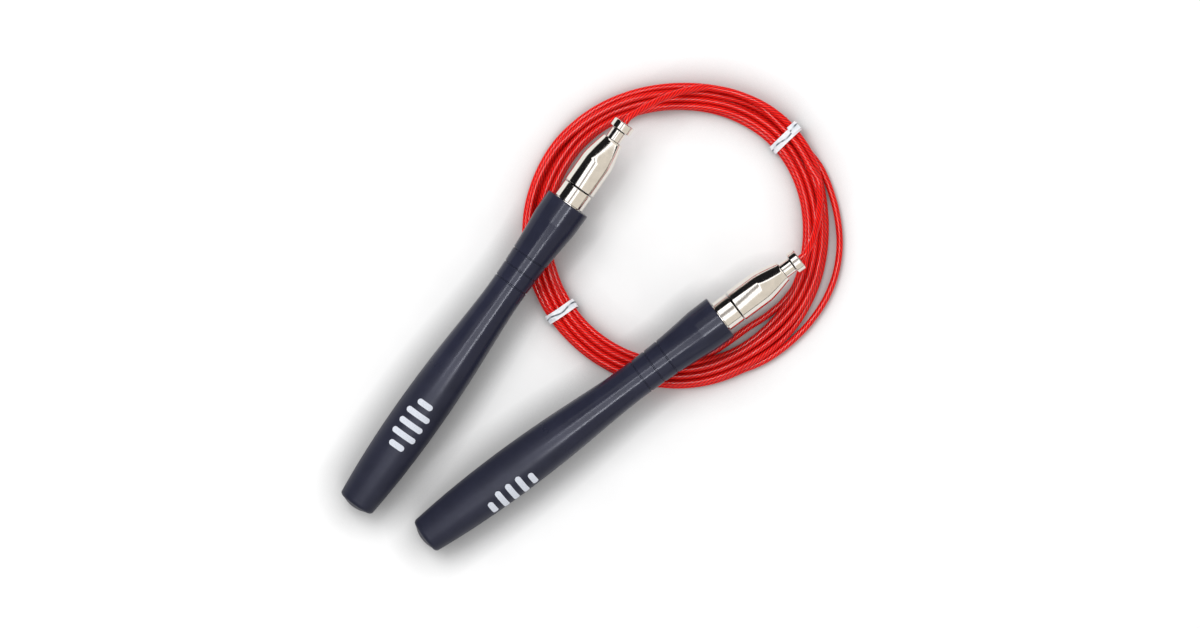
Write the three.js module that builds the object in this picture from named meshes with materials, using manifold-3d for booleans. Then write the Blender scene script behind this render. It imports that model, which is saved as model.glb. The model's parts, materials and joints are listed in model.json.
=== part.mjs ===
// Speed jump rope laid flat: two ball-bearing handles resting on their own coiled cable.
// Millimetres, +Z up, floor at Z = 0. The origin lies under the middle of the two handles.
// Each handle is drawn along its own Y axis, with Y = 0 at the grip's front face and the tip
// towards +Y, and is then turned and tilted into place.

import * as THREE from "three";
import { mergeVertices } from "three/addons/utils/BufferGeometryUtils.js";
import Module from "manifold-3d";

const wasm = await Module();
wasm.setup();

// ---- Driving dimensions -----------------------------------------------------------------

const CLEARANCE = {
  seat: 0.3, // between faces that touch
  press: 0.2, // around a pressed or screwed spigot
  bearing: 0.15, // around a race, in its housing and on its journal
  running: 0.3, // around the spinning spindle
  cable: 0.25, // around the cable in its bores
  rest: 0.3, // between a handle and the cable that it lies on
};

const CABLE = { diameter: 2.5, sides: 8, step: 6 };

const COIL = {
  meanRadius: 53,
  bandWidth: 10.2,
  height: 5.2,
  corner: 1.5,
  sides: 48,
};

// Two turns stray from the band between these bearings, in degrees, by this much at their middle.
const OUTER_TURN = { from: 20, to: -42, stray: 2 };
const INNER_TURN = { from: -36, to: -72, stray: 1 };

const TIE = { width: 3.5, thickness: 0.5 };
const TIE_BEARINGS = { upper_tie: 42, lower_tie: 213 };

const GRIP = {
  length: 141.4,
  sides: 24,
  frontRadius: 8.95,
  frontChamfer: 0.4,
  bandLength: 9.1,
  bandRadius: 8.85,
  waistAt: 40.7,
  waistRadius: 6.95,
  bellyAt: 99,
  bellyRadius: 9.22,
  buttRadius: 7.3,
  buttRound: 1.2,
  buttDome: 1.1,
  wall: 1.9,
  socketDepth: 15,
  grooveFirst: 25.2,
  groovePitch: 6.1,
  grooveCount: 3,
  grooveWidth: 0.6,
  grooveDepth: 0.35,
};

const FERRULE = {
  collarLength: 6.9,
  collarRadius: 6.2,
  edge: 0.3,
  tailLength: 14,
  tailRadius: 5.5,
  noseLength: 3.2,
  boreRadius: 3.9,
  sides: 20,
};

const HOUSING = {
  seam: 0.4,
  length: 22.3,
  straightLength: 11.5,
  radius: 6.45,
  frontRadius: 3.9,
  lipLength: 0.5,
  sides: 24,
};

const BEARING = {
  width: 4,
  outerRadius: 5,
  innerRadius: 2.5,
  pitchRadius: 3.75,
  ballRadius: 0.75,
  ballCount: 7,
  innerLand: 3.2,
  outerLand: 4.3,
  grooveDepth: 0.38,
  grooveHalf: 0.8,
  grooveFlat: 0.35,
  cageWall: 0.4,
  cageWidth: 0.9,
  sides: 16,
};

const SPACER = { width: 1.8, wall: 0.8 };

const SPINDLE = {
  neckLength: 3.8,
  neckRadius: 3.1,
  noseLength: 2.4,
  noseRadius: 2.35,
  rearOverhang: 1.6,
  grooveDepth: 0.35,
  sides: 16,
};

const RETAINER = { thickness: 0.5, reach: 1.1, mouth: 50, sides: 14 };

const CAP = {
  length: 3.8,
  radius: 4.4,
  edge: 0.35,
  rimLength: 0.9,
  rimStep: 0.25,
  sides: 20,
};

const STOP = { length: 7.6, radius: 3.2, chamfer: 0.4, gap: 0.4, cableBehind: 2, sides: 14 };
const SET_SCREW = { radius: 1.25, socketRadius: 0.7, socketDepth: 0.7, sides: 10 };

// Where each handle's tip lies from the middle of the coil, and which way it points.
const HANDLES = {
  left: { tip: new THREE.Vector2(-20.05, 42.5), heading: 54.7 },
  right: { tip: new THREE.Vector2(46.05, -8.8), heading: 36.6 },
};

// The cable's way from each tip down to the coil, from the middle of the coil: x, y and height.
// It leaves the tip straight for tipLead, and ends on top of the band.
const TAIL = { tipLead: 2.5 };
const TAIL_ROUTES = {
  left: [
    [-14.7, 47.3, 16.2],
    [-9.6, 50.1, 14.2],
    [-4.5, 52.6, 11.7],
    [0.5, 54.6, 9.4],
    [4.9, 55.8, 7.8],
    [10.5, 56.2, 7.0],
    [15.5, 55.4, 6.8],
  ],
  right: [
    [50.6, -3.9, 15.9],
    [52.3, 1.4, 13.2],
    [53.5, 6.6, 10.3],
    [54.4, 11.6, 8.2],
    [54.8, 16.2, 7.1],
    [54.6, 20.6, 6.8],
  ],
};

const COLOUR = {
  grip: 0x2b2d39,
  nickel: 0xcfc6b8,
  bearingSteel: 0xa9adb3,
  cageBrass: 0xb08d4a,
  springSteel: 0x6f747a,
  brass: 0xc1a05a,
  blackSteel: 0x24252a,
  cable: 0xc8141a,
  tie: 0xe9edf2,
};

// ---- Shape helpers ----------------------------------------------------------------------

const radians = THREE.MathUtils.degToRad;

function material(color, roughness, metalness) {
  return new THREE.MeshStandardMaterial({ color, roughness, metalness });
}

function named(name, geometry, finish) {
  const mesh = new THREE.Mesh(geometry, finish);
  mesh.name = name;
  return mesh;
}

// A body turned about Y from [radius, y] points that run anticlockwise round its section.
// A section that doesn't start on the axis is closed on its first point.
function turned(outline, sides) {
  const points = outline.map(([radius, y]) => new THREE.Vector2(radius, y));
  if (points[0].x > 0) points.push(points[0].clone());
  return new THREE.LatheGeometry(points, sides);
}

function toSolid(geometry) {
  const bare = new THREE.BufferGeometry();
  bare.setAttribute("position", geometry.getAttribute("position"));
  bare.setIndex(geometry.index);
  const merged = mergeVertices(bare, 1e-4);
  const vertProperties = merged.getAttribute("position").array;
  const triVerts = new Uint32Array(merged.index.array);
  return new wasm.Manifold(new wasm.Mesh({ numProp: 3, vertProperties, triVerts }));
}

function toGeometry(solid) {
  const mesh = solid.getMesh();
  const geometry = new THREE.BufferGeometry();
  geometry.setAttribute("position", new THREE.BufferAttribute(mesh.vertProperties, 3));
  geometry.setIndex(new THREE.BufferAttribute(mesh.triVerts, 1));
  geometry.computeVertexNormals();
  return geometry;
}

// A round bar along a curve, with its ends square to the curve.
function cableAlong(curve) {
  const section = new THREE.Shape();
  const radius = CABLE.diameter / 2;
  for (let side = 0; side < CABLE.sides; side += 1) {
    const angle = (side / CABLE.sides) * 2 * Math.PI;
    const x = radius * Math.cos(angle);
    const y = radius * Math.sin(angle);
    if (side === 0) section.moveTo(x, y);
    else section.lineTo(x, y);
  }
  const steps = Math.max(1, Math.round(curve.getLength() / CABLE.step));
  return new THREE.ExtrudeGeometry(section, { extrudePath: curve, steps });
}

// ---- Stations along a handle ------------------------------------------------------------

const station = {};
station.housingRear = FERRULE.collarLength + HOUSING.seam;
station.housingFront = station.housingRear + HOUSING.length;
station.neckFront = station.housingFront + SPINDLE.neckLength;
station.tip = station.neckFront + CAP.length;
station.ferruleNose = FERRULE.collarLength + FERRULE.noseLength;
station.rearBearing = station.ferruleNose + CLEARANCE.press;
station.spacer = station.rearBearing + BEARING.width + CLEARANCE.press;
station.frontBearing = station.spacer + SPACER.width + CLEARANCE.press;
station.shoulder = station.frontBearing + BEARING.width + CLEARANCE.press;
station.retainer = station.rearBearing - CLEARANCE.press - RETAINER.thickness;
station.spindleRear = station.rearBearing - SPINDLE.rearOverhang;
station.stopFront = station.spindleRear - STOP.gap;
station.stopRear = station.stopFront - STOP.length;
station.cableEnd = station.stopRear - STOP.cableBehind;

const cableBore = CABLE.diameter / 2 + CLEARANCE.cable;
const coilInner = COIL.meanRadius - COIL.bandWidth / 2;
const coilOuter = COIL.meanRadius + COIL.bandWidth / 2;
const journalRadius = BEARING.innerRadius - CLEARANCE.bearing;

// ---- The pieces of one handle -----------------------------------------------------------

function groovePoints(curveRadius) {
  const points = [];
  for (let index = GRIP.grooveCount - 1; index >= 0; index -= 1) {
    const behind = GRIP.grooveFirst + index * GRIP.groovePitch;
    for (const [shift, depth] of [[0.5, 0], [0, GRIP.grooveDepth], [-0.5, 0]]) {
      const y = -(behind + shift * GRIP.grooveWidth);
      points.push([curveRadius(-y) - depth, y]);
    }
  }
  return points;
}

// The outside of the grip from the middle of its butt to its front face.
function gripOutline() {
  const at = (behind, radius) => new THREE.Vector2(radius, -behind);
  const cornerAt = GRIP.length - GRIP.buttDome - GRIP.buttRound;
  const butt = at(cornerAt, GRIP.buttRadius);
  const belly = at(GRIP.bellyAt, GRIP.bellyRadius);
  const waist = at(GRIP.waistAt, GRIP.waistRadius);
  const band = at(GRIP.bandLength, GRIP.bandRadius);
  const between = (from, to, share) => from + (to - from) * share;

  const rounding = new THREE.QuadraticBezierCurve(
    at(GRIP.length - GRIP.buttDome, GRIP.buttRadius - GRIP.buttRound),
    at(GRIP.length - GRIP.buttDome, GRIP.buttRadius),
    butt,
  );
  const taper = new THREE.QuadraticBezierCurve(
    butt,
    at(between(GRIP.bellyAt, cornerAt, 0.52), GRIP.bellyRadius),
    belly,
  );
  const swell = new THREE.CubicBezierCurve(
    belly,
    at(between(GRIP.waistAt, GRIP.bellyAt, 0.5), GRIP.bellyRadius),
    at(between(GRIP.waistAt, GRIP.bellyAt, 0.26), GRIP.waistRadius),
    waist,
  );
  const waistToBand = GRIP.waistAt - GRIP.bandLength;
  const flare = (behind) => {
    const share = (GRIP.waistAt - behind) / waistToBand;
    return GRIP.waistRadius + (GRIP.bandRadius - GRIP.waistRadius) * share ** 2;
  };

  const outline = [[0, -GRIP.length]];
  const add = (curve, steps, from = 1) => {
    for (const point of curve.getPoints(steps).slice(from)) outline.push([point.x, point.y]);
  };
  add(rounding, 2, 0);
  add(taper, 4);
  add(swell, 6);
  outline.push(...groovePoints(flare));
  for (const share of [0.35, 0.7, 1]) {
    const behind = between(GRIP.grooveFirst - GRIP.grooveWidth, GRIP.bandLength, share);
    outline.push([flare(behind), -behind]);
  }
  outline.push([GRIP.frontRadius, -GRIP.frontChamfer]);
  outline.push([GRIP.frontRadius - GRIP.frontChamfer, 0]);
  return outline;
}

function grip() {
  const socketRadius = FERRULE.tailRadius + CLEARANCE.press;
  const hollowRadius = Math.min(GRIP.waistRadius - GRIP.wall, socketRadius - 0.5);
  const hollowEnd = -(GRIP.length - GRIP.buttDome - 2 * GRIP.wall);
  return turned(
    [
      ...gripOutline(),
      [socketRadius, 0],
      [socketRadius, -GRIP.socketDepth],
      [hollowRadius, -GRIP.socketDepth],
      [hollowRadius, hollowEnd],
      [0, hollowEnd],
    ],
    GRIP.sides,
  );
}

function ferrule() {
  const { collarLength, collarRadius, edge, tailLength, tailRadius, boreRadius } = FERRULE;
  const noseRadius = BEARING.outerRadius + CLEARANCE.bearing - CLEARANCE.press;
  return turned(
    [
      [boreRadius, -tailLength],
      [tailRadius, -tailLength],
      [tailRadius, CLEARANCE.seat],
      [collarRadius, CLEARANCE.seat],
      [collarRadius, collarLength - edge],
      [collarRadius - edge, collarLength],
      [noseRadius, collarLength],
      [noseRadius, station.ferruleNose],
      [boreRadius, station.ferruleNose],
    ],
    FERRULE.sides,
  );
}

function bearingHousing() {
  const { radius, frontRadius, straightLength, length, lipLength } = HOUSING;
  const seatRadius = BEARING.outerRadius + CLEARANCE.bearing;
  const throatRadius = SPINDLE.neckRadius + CLEARANCE.running;
  const noseLength = length - straightLength - lipLength;
  const ogive = [];
  for (const share of [0, 0.3, 0.55, 0.8, 1]) {
    const reach = share ** 1.6;
    ogive.push([
      radius - (radius - frontRadius) * reach,
      station.housingRear + straightLength + noseLength * share,
    ]);
  }
  return turned(
    [
      [seatRadius, station.housingRear],
      [radius - FERRULE.edge, station.housingRear],
      [radius, station.housingRear + FERRULE.edge],
      ...ogive,
      [frontRadius, station.housingFront],
      [throatRadius, station.housingFront],
      [throatRadius, station.shoulder],
      [seatRadius, station.shoulder],
    ],
    HOUSING.sides,
  );
}

function spindle() {
  const { neckRadius, noseLength, noseRadius, grooveDepth } = SPINDLE;
  const retainerFront = station.rearBearing - CLEARANCE.press / 2;
  const retainerRear = station.retainer - CLEARANCE.press / 2;
  return turned(
    [
      [cableBore, station.spindleRear],
      [journalRadius, station.spindleRear],
      [journalRadius, retainerRear],
      [journalRadius - grooveDepth, retainerRear],
      [journalRadius - grooveDepth, retainerFront],
      [journalRadius, retainerFront],
      [journalRadius, station.shoulder],
      [neckRadius, station.shoulder],
      [neckRadius, station.neckFront],
      [noseRadius, station.neckFront],
      [noseRadius, station.neckFront + noseLength],
      [cableBore, station.neckFront + noseLength],
    ],
    SPINDLE.sides,
  );
}

function tipCap() {
  const rear = station.neckFront + CLEARANCE.seat;
  const socketRadius = SPINDLE.noseRadius + CLEARANCE.press;
  const socketFront = station.neckFront + SPINDLE.noseLength + CLEARANCE.seat;
  const { radius, edge, rimLength, rimStep } = CAP;
  return turned(
    [
      [socketRadius, rear],
      [radius - rimStep - edge, rear],
      [radius - rimStep, rear + edge],
      [radius - rimStep, station.tip - rimLength - rimStep],
      [radius, station.tip - rimLength],
      [radius, station.tip - edge],
      [radius - edge, station.tip],
      [cableBore, station.tip],
      [cableBore, socketFront],
      [socketRadius, socketFront],
    ],
    CAP.sides,
  );
}

// A race is a ring whose ball groove lies in its inner or its outer face.
function outerRace(rear) {
  const { width, outerRadius, outerLand, grooveDepth, grooveHalf, grooveFlat } = BEARING;
  const middle = rear + width / 2;
  return turned(
    [
      [outerLand, rear],
      [outerRadius, rear],
      [outerRadius, rear + width],
      [outerLand, rear + width],
      [outerLand, middle + grooveHalf],
      [outerLand + grooveDepth, middle + grooveFlat],
      [outerLand + grooveDepth, middle - grooveFlat],
      [outerLand, middle - grooveHalf],
    ],
    BEARING.sides,
  );
}

function innerRace(rear) {
  const { width, innerRadius, innerLand, grooveDepth, grooveHalf, grooveFlat } = BEARING;
  const middle = rear + width / 2;
  return turned(
    [
      [innerRadius, rear],
      [innerLand, rear],
      [innerLand, middle - grooveHalf],
      [innerLand - grooveDepth, middle - grooveFlat],
      [innerLand - grooveDepth, middle + grooveFlat],
      [innerLand, middle + grooveHalf],
      [innerLand, rear + width],
      [innerRadius, rear + width],
    ],
    BEARING.sides,
  );
}

function ballCage(rear) {
  const { width, pitchRadius, ballRadius, ballCount, cageWall, cageWidth, sides } = BEARING;
  const middle = rear + width / 2;
  const inner = pitchRadius - cageWall / 2;
  const outer = pitchRadius + cageWall / 2;
  let cage = toSolid(
    turned(
      [
        [inner, middle - cageWidth / 2],
        [outer, middle - cageWidth / 2],
        [outer, middle + cageWidth / 2],
        [inner, middle + cageWidth / 2],
      ],
      sides,
    ),
  );
  for (let ball = 0; ball < ballCount; ball += 1) {
    const sphere = new THREE.SphereGeometry(ballRadius, 6, 4);
    sphere.translate(pitchRadius, middle, 0);
    sphere.rotateY((ball / ballCount) * 2 * Math.PI);
    cage = cage.add(toSolid(sphere));
  }
  return toGeometry(cage);
}

function bearingSpacer() {
  const outer = BEARING.outerRadius;
  return turned(
    [
      [outer - SPACER.wall, station.spacer],
      [outer, station.spacer],
      [outer, station.spacer + SPACER.width],
      [outer - SPACER.wall, station.spacer + SPACER.width],
    ],
    BEARING.sides,
  );
}

// An open ring that snaps into the spindle's groove behind the rear bearing.
function retainingRing() {
  const inner = journalRadius - SPINDLE.grooveDepth + CLEARANCE.bearing;
  const outer = inner + RETAINER.reach;
  const half = radians(RETAINER.mouth / 2);
  const ring = new THREE.Shape();
  ring.absarc(0, 0, outer, half, 2 * Math.PI - half, false);
  ring.absarc(0, 0, inner, 2 * Math.PI - half, half, true);
  const geometry = new THREE.ExtrudeGeometry(ring, {
    depth: RETAINER.thickness,
    bevelEnabled: false,
    curveSegments: RETAINER.sides,
  });
  geometry.rotateX(-Math.PI / 2);
  geometry.translate(0, station.retainer, 0);
  return geometry;
}

// A cylinder along X, from one distance off the axis to another.
function sideways(radius, from, to, sides) {
  const cylinder = new THREE.CylinderGeometry(radius, radius, to - from, sides);
  cylinder.rotateZ(-Math.PI / 2);
  cylinder.translate((from + to) / 2, 0, 0);
  return cylinder;
}

const screwY = (station.stopRear + station.stopFront) / 2;

function cableStop() {
  const { radius, chamfer, sides } = STOP;
  const barrel = turned(
    [
      [cableBore, station.stopRear],
      [radius - chamfer, station.stopRear],
      [radius, station.stopRear + chamfer],
      [radius, station.stopFront - chamfer],
      [radius - chamfer, station.stopFront],
      [cableBore, station.stopFront],
    ],
    sides,
  );
  const holeRadius = SET_SCREW.radius + CLEARANCE.bearing;
  const hole = sideways(holeRadius, CABLE.diameter / 4, radius + 1, SET_SCREW.sides);
  hole.translate(0, screwY, 0);
  return toGeometry(toSolid(barrel).subtract(toSolid(hole)));
}

function setScrew() {
  const tip = CABLE.diameter / 2 + CLEARANCE.seat;
  const head = STOP.radius - CLEARANCE.press;
  const { radius, socketRadius, socketDepth, sides } = SET_SCREW;
  const shank = sideways(radius, tip, head, sides);
  const socket = sideways(socketRadius, head - socketDepth, head + 1, 6);
  const screw = toGeometry(toSolid(shank).subtract(toSolid(socket)));
  return screw.translate(0, screwY, 0);
}

function cableEnd() {
  const from = new THREE.Vector3(0, station.cableEnd, 0);
  const to = new THREE.Vector3(0, station.tip, 0);
  return cableAlong(new THREE.LineCurve3(from, to));
}

// ---- How a handle lies ------------------------------------------------------------------

// The stretch of a handle that lies over the coil's band, as stations along the handle.
function bandCrossing({ tip, heading }) {
  const along = new THREE.Vector2(Math.cos(radians(heading)), Math.sin(radians(heading)));
  const aside = tip.cross(along);
  const behindTip = (radius) => tip.dot(along) + Math.sqrt(radius ** 2 - aside ** 2);
  return {
    from: station.tip - behindTip(coilOuter),
    to: station.tip - behindTip(coilInner),
  };
}

// The outline's radius at a station, along the straight line between its points.
function radiusAt(outline, y) {
  const next = Math.max(1, outline.findIndex((point) => point[1] >= y));
  const [fromRadius, fromY] = outline[next - 1];
  const [toRadius, toY] = outline[next];
  return fromRadius + ((toRadius - fromRadius) * (y - fromY)) / (toY - fromY);
}

// The tilt and the height at which the grip's underside touches the floor near its butt
// and clears the band where it crosses it.
function restingPose(handle) {
  const outline = gripOutline();
  const crossing = bandCrossing(handle);
  const over = [];
  for (let index = 0; index <= 16; index += 1) {
    const y = crossing.from + ((crossing.to - crossing.from) * index) / 16;
    const onGrip = THREE.MathUtils.clamp(y, -GRIP.length, 0);
    over.push([radiusAt(outline, onGrip), onGrip]);
  }
  const drop = (points, tilt) =>
    Math.max(...points.map(([radius, y]) => radius * Math.cos(tilt) - y * Math.sin(tilt)));
  const top = COIL.height + CLEARANCE.rest;
  let low = 0;
  let high = radians(12);
  for (let round = 0; round < 40; round += 1) {
    const tilt = (low + high) / 2;
    if (drop(outline, tilt) - drop(over, tilt) >= top) high = tilt;
    else low = tilt;
  }
  return { tilt: high, height: drop(outline, high) };
}

function handleGroup(side) {
  const handle = HANDLES[side];
  const { tilt, height } = restingPose(handle);
  const group = new THREE.Group();
  const along = new THREE.Vector3(1, 0, 0)
    .applyAxisAngle(new THREE.Vector3(0, 1, 0), -tilt)
    .applyAxisAngle(new THREE.Vector3(0, 0, 1), radians(handle.heading));
  const across = new THREE.Vector3(0, 0, 1).cross(along).normalize();
  const turn = new THREE.Matrix4().makeBasis(
    across.clone().negate(),
    along,
    across.clone().negate().cross(along),
  );
  group.quaternion.setFromRotationMatrix(turn);
  const run = station.tip * Math.cos(tilt);
  group.position.set(
    handle.tip.x - run * Math.cos(radians(handle.heading)),
    handle.tip.y - run * Math.sin(radians(handle.heading)),
    height,
  );

  const nickel = () => material(COLOUR.nickel, 0.18, 1);
  const steel = () => material(COLOUR.bearingSteel, 0.25, 1);
  group.add(
    named(`${side}_grip`, grip(), material(COLOUR.grip, 0.42, 0)),
    named(`${side}_ferrule`, ferrule(), nickel()),
    named(`${side}_bearing_housing`, bearingHousing(), nickel()),
    named(`${side}_spindle`, spindle(), nickel()),
    named(`${side}_tip_cap`, tipCap(), nickel()),
    named(`${side}_bearing_spacer`, bearingSpacer(), material(COLOUR.brass, 0.35, 1)),
    named(`${side}_retaining_ring`, retainingRing(), material(COLOUR.springSteel, 0.4, 1)),
    named(`${side}_cable_stop`, cableStop(), material(COLOUR.brass, 0.35, 1)),
    named(`${side}_set_screw`, setScrew(), material(COLOUR.blackSteel, 0.5, 1)),
    named(`${side}_cable_end`, cableEnd(), material(COLOUR.cable, 0.25, 0)),
  );
  for (const end of ["rear", "front"]) {
    const rear = station[`${end}Bearing`];
    group.add(
      named(`${side}_${end}_outer_race`, outerRace(rear), steel()),
      named(`${side}_${end}_inner_race`, innerRace(rear), steel()),
      named(`${side}_${end}_ball_cage`, ballCage(rear), material(COLOUR.cageBrass, 0.4, 1)),
    );
  }
  return group;
}

// ---- The cable outside the handles ------------------------------------------------------

// The coil's section is measured from the coil's middle and turned about Z.
function coilRing() {
  const { height, corner, sides } = COIL;
  const ring = turned(
    [
      [coilInner + corner, 0],
      [coilOuter - corner, 0],
      [coilOuter, corner],
      [coilOuter, height - corner],
      [coilOuter - corner, height],
      [coilInner + corner, height],
      [coilInner, height - corner],
      [coilInner, corner],
    ],
    sides,
  );
  return ring.rotateX(Math.PI / 2);
}

// A straight bar across the band at a bearing: its section is a rectangle, and may be hollow.
function bandBar(bearing, width, inset, holeInset) {
  const rectangle = (shape, margin) => {
    const low = margin;
    const high = COIL.height - margin;
    const near = coilInner + margin;
    const far = coilOuter - margin;
    shape.moveTo(near, low);
    shape.lineTo(far, low);
    shape.lineTo(far, high);
    shape.lineTo(near, high);
    shape.closePath();
    return shape;
  };
  const section = rectangle(new THREE.Shape(), inset);
  if (holeInset !== undefined) section.holes.push(rectangle(new THREE.Path(), holeInset));
  const bar = new THREE.ExtrudeGeometry(section, { depth: width, bevelEnabled: false });
  bar.translate(0, 0, -width / 2);
  bar.rotateX(Math.PI / 2);
  return bar.rotateZ(radians(bearing));
}

// The ties lie in a waist of the coil, so that they and the coil share one flat underside.
function coil() {
  const waist = TIE.thickness + CLEARANCE.seat;
  let solid = toSolid(coilRing());
  for (const bearing of Object.values(TIE_BEARINGS)) {
    const slot = bandBar(bearing, TIE.width + 2 * CLEARANCE.seat, -1, waist);
    solid = solid.subtract(toSolid(slot));
  }
  return toGeometry(solid);
}

function strayTurn({ from, to, stray }, bandRadius) {
  const points = [];
  const count = 12;
  for (let index = 0; index <= count; index += 1) {
    const share = index / count;
    const bearing = radians(from + (to - from) * share);
    const radius = bandRadius + stray * Math.sin(Math.PI * share);
    const height = CABLE.diameter / 2;
    points.push(
      new THREE.Vector3(radius * Math.cos(bearing), radius * Math.sin(bearing), height),
    );
  }
  return cableAlong(new THREE.CatmullRomCurve3(points));
}

function tail(side, group) {
  const tip = new THREE.Vector3(0, station.tip, 0);
  const ahead = (distance) => group.localToWorld(tip.clone().setY(tip.y + distance));
  group.updateMatrixWorld();
  const points = [
    ahead(CLEARANCE.seat),
    ahead(TAIL.tipLead),
    ...TAIL_ROUTES[side].map((point) => new THREE.Vector3(...point)),
  ];
  return cableAlong(new THREE.CatmullRomCurve3(points));
}

// ---- Assembly ---------------------------------------------------------------------------

const cableFinish = () => material(COLOUR.cable, 0.25, 0);
const besideBand = CABLE.diameter / 2 + CLEARANCE.seat;

const rope = new THREE.Group();
const left = handleGroup("left");
const right = handleGroup("right");
const innerTurn = { ...INNER_TURN, stray: -INNER_TURN.stray };
rope.add(
  named("cable_coil", coil(), cableFinish()),
  named("cable_left_tail", tail("left", left), cableFinish()),
  named("cable_right_tail", tail("right", right), cableFinish()),
  named(
    "cable_outer_turn",
    strayTurn(OUTER_TURN, coilOuter + besideBand),
    cableFinish(),
  ),
  named(
    "cable_inner_turn",
    strayTurn(innerTurn, coilInner - besideBand),
    cableFinish(),
  ),
);
for (const [name, bearing] of Object.entries(TIE_BEARINGS)) {
  const tie = bandBar(bearing, TIE.width, 0, TIE.thickness);
  rope.add(named(name, tie, material(COLOUR.tie, 0.35, 0)));
}
rope.add(left, right);

// The middle of the two handles' box goes to the origin.
rope.updateMatrixWorld(true);
const handleBox = new THREE.Box3().setFromObject(left, true);
handleBox.union(new THREE.Box3().setFromObject(right, true));
const middle = handleBox.getCenter(new THREE.Vector3());
rope.position.set(-middle.x, -middle.y, 0);

export default rope;
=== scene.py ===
"""Jump rope: two bearing handles and one coated cable in a tied coil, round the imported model.

Lengths are in millimetres while a shape is worked out, and in metres in every Blender object.
"""

import json
import math

import bmesh
import bpy
import numpy as np
from mathutils import Matrix, Vector


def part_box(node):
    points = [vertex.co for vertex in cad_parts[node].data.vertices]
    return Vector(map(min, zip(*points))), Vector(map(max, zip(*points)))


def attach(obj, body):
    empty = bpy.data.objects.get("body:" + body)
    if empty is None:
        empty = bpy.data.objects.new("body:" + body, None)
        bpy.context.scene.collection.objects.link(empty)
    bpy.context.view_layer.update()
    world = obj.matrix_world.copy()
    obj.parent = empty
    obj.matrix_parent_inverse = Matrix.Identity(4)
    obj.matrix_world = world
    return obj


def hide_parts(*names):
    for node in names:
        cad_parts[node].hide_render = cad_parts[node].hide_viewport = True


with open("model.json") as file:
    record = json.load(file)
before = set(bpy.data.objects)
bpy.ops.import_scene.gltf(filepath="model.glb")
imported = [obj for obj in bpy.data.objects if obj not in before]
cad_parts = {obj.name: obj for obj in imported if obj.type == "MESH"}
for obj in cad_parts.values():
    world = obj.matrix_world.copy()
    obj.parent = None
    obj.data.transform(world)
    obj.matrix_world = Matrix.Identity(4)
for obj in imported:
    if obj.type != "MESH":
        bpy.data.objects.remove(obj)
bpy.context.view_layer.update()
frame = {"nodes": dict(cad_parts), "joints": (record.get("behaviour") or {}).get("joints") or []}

MM = 0.001

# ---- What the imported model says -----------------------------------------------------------


def coil_centre():
    low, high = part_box("cable_coil")
    return Vector(((low.x + high.x) / 2, (low.y + high.y) / 2, 0.0))


def swivel(side):
    """The tip of a handle and the direction that it points in."""
    joint = next(j for j in frame["joints"] if j["name"] == side + "_swivel_spin")
    return Vector(joint["pos_m"]), Vector(joint["axis"]).normalized()


TIP_STATION = 37.2  # from the grip's front face to the tip


def handle_matrix(side):
    """A handle's own frame: Y along its axis, from the grip's front face, and Z upwards."""
    tip, along = swivel(side)
    across = along.cross(Vector((0, 0, 1))).normalized()
    up = across.cross(along)
    origin = tip - along * TIP_STATION * MM
    turn = Matrix((across, along, up)).transposed().to_4x4()
    return Matrix.Translation(origin) @ turn


CENTRE = coil_centre()

# ---- The camera ---------------------------------------------------------------------------

VIEW_CENTRE = (0.01033, 0.00783)  # the middle of the picture
VIEW_WIDTH = 0.456
VIEW_HEIGHT_AT = 0.008  # the height above the floor where the picture has that width
LENS = 150.0
SENSOR = 36.0


def add_camera():
    data = bpy.data.cameras.new("camera")
    data.lens = LENS
    data.sensor_width = SENSOR
    distance = VIEW_WIDTH * LENS / SENSOR
    data.clip_start = 0.05
    data.clip_end = 20.0
    camera = bpy.data.objects.new("camera", data)
    camera.location = (*VIEW_CENTRE, VIEW_HEIGHT_AT + distance)
    bpy.context.scene.collection.objects.link(camera)
    bpy.context.scene.camera = camera


add_camera()

# ---- Mesh helpers -------------------------------------------------------------------------


def add_object(name, mesh, matrix=None):
    piece = bpy.data.objects.new(name, mesh)
    bpy.context.scene.collection.objects.link(piece)
    if matrix is not None:
        piece.matrix_world = matrix
    return piece


def finish_mesh(name, points, faces, sharp=30.0):
    """A smooth-shaded mesh with its normals outwards, from points in millimetres."""
    mesh = bpy.data.meshes.new(name)
    mesh.from_pydata([tuple(float(c) * MM for c in p) for p in points], [], faces)
    work = bmesh.new()
    work.from_mesh(mesh)
    bmesh.ops.recalc_face_normals(work, faces=work.faces)
    work.to_mesh(mesh)
    work.free()
    mesh.shade_smooth()
    mesh.set_sharp_from_angle(angle=math.radians(sharp))
    return mesh


def softened(corners, steps=4, support=0.06):
    """A closed outline with rounded corners (radius, y, size) and support rings beside them."""
    out = []
    count = len(corners)
    for index, (r, y, size) in enumerate(corners):
        here = np.array((r, y))
        if size <= 0:
            out.append(here)
            continue
        before = np.array(corners[index - 1][:2])
        after = np.array(corners[(index + 1) % count][:2])
        to_before = (before - here) / np.linalg.norm(before - here)
        to_after = (after - here) / np.linalg.norm(after - here)
        start = here + to_before * size
        end = here + to_after * size
        if np.linalg.norm(before - start) > 4 * support:
            out.append(start + to_before * support)
        for step in range(steps + 1):
            t = step / steps
            out.append((1 - t) ** 2 * start + 2 * t * (1 - t) * here + t * t * end)
        if np.linalg.norm(after - end) > 4 * support:
            out.append(end + to_after * support)
    return [(float(r), float(y)) for r, y in out]


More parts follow.
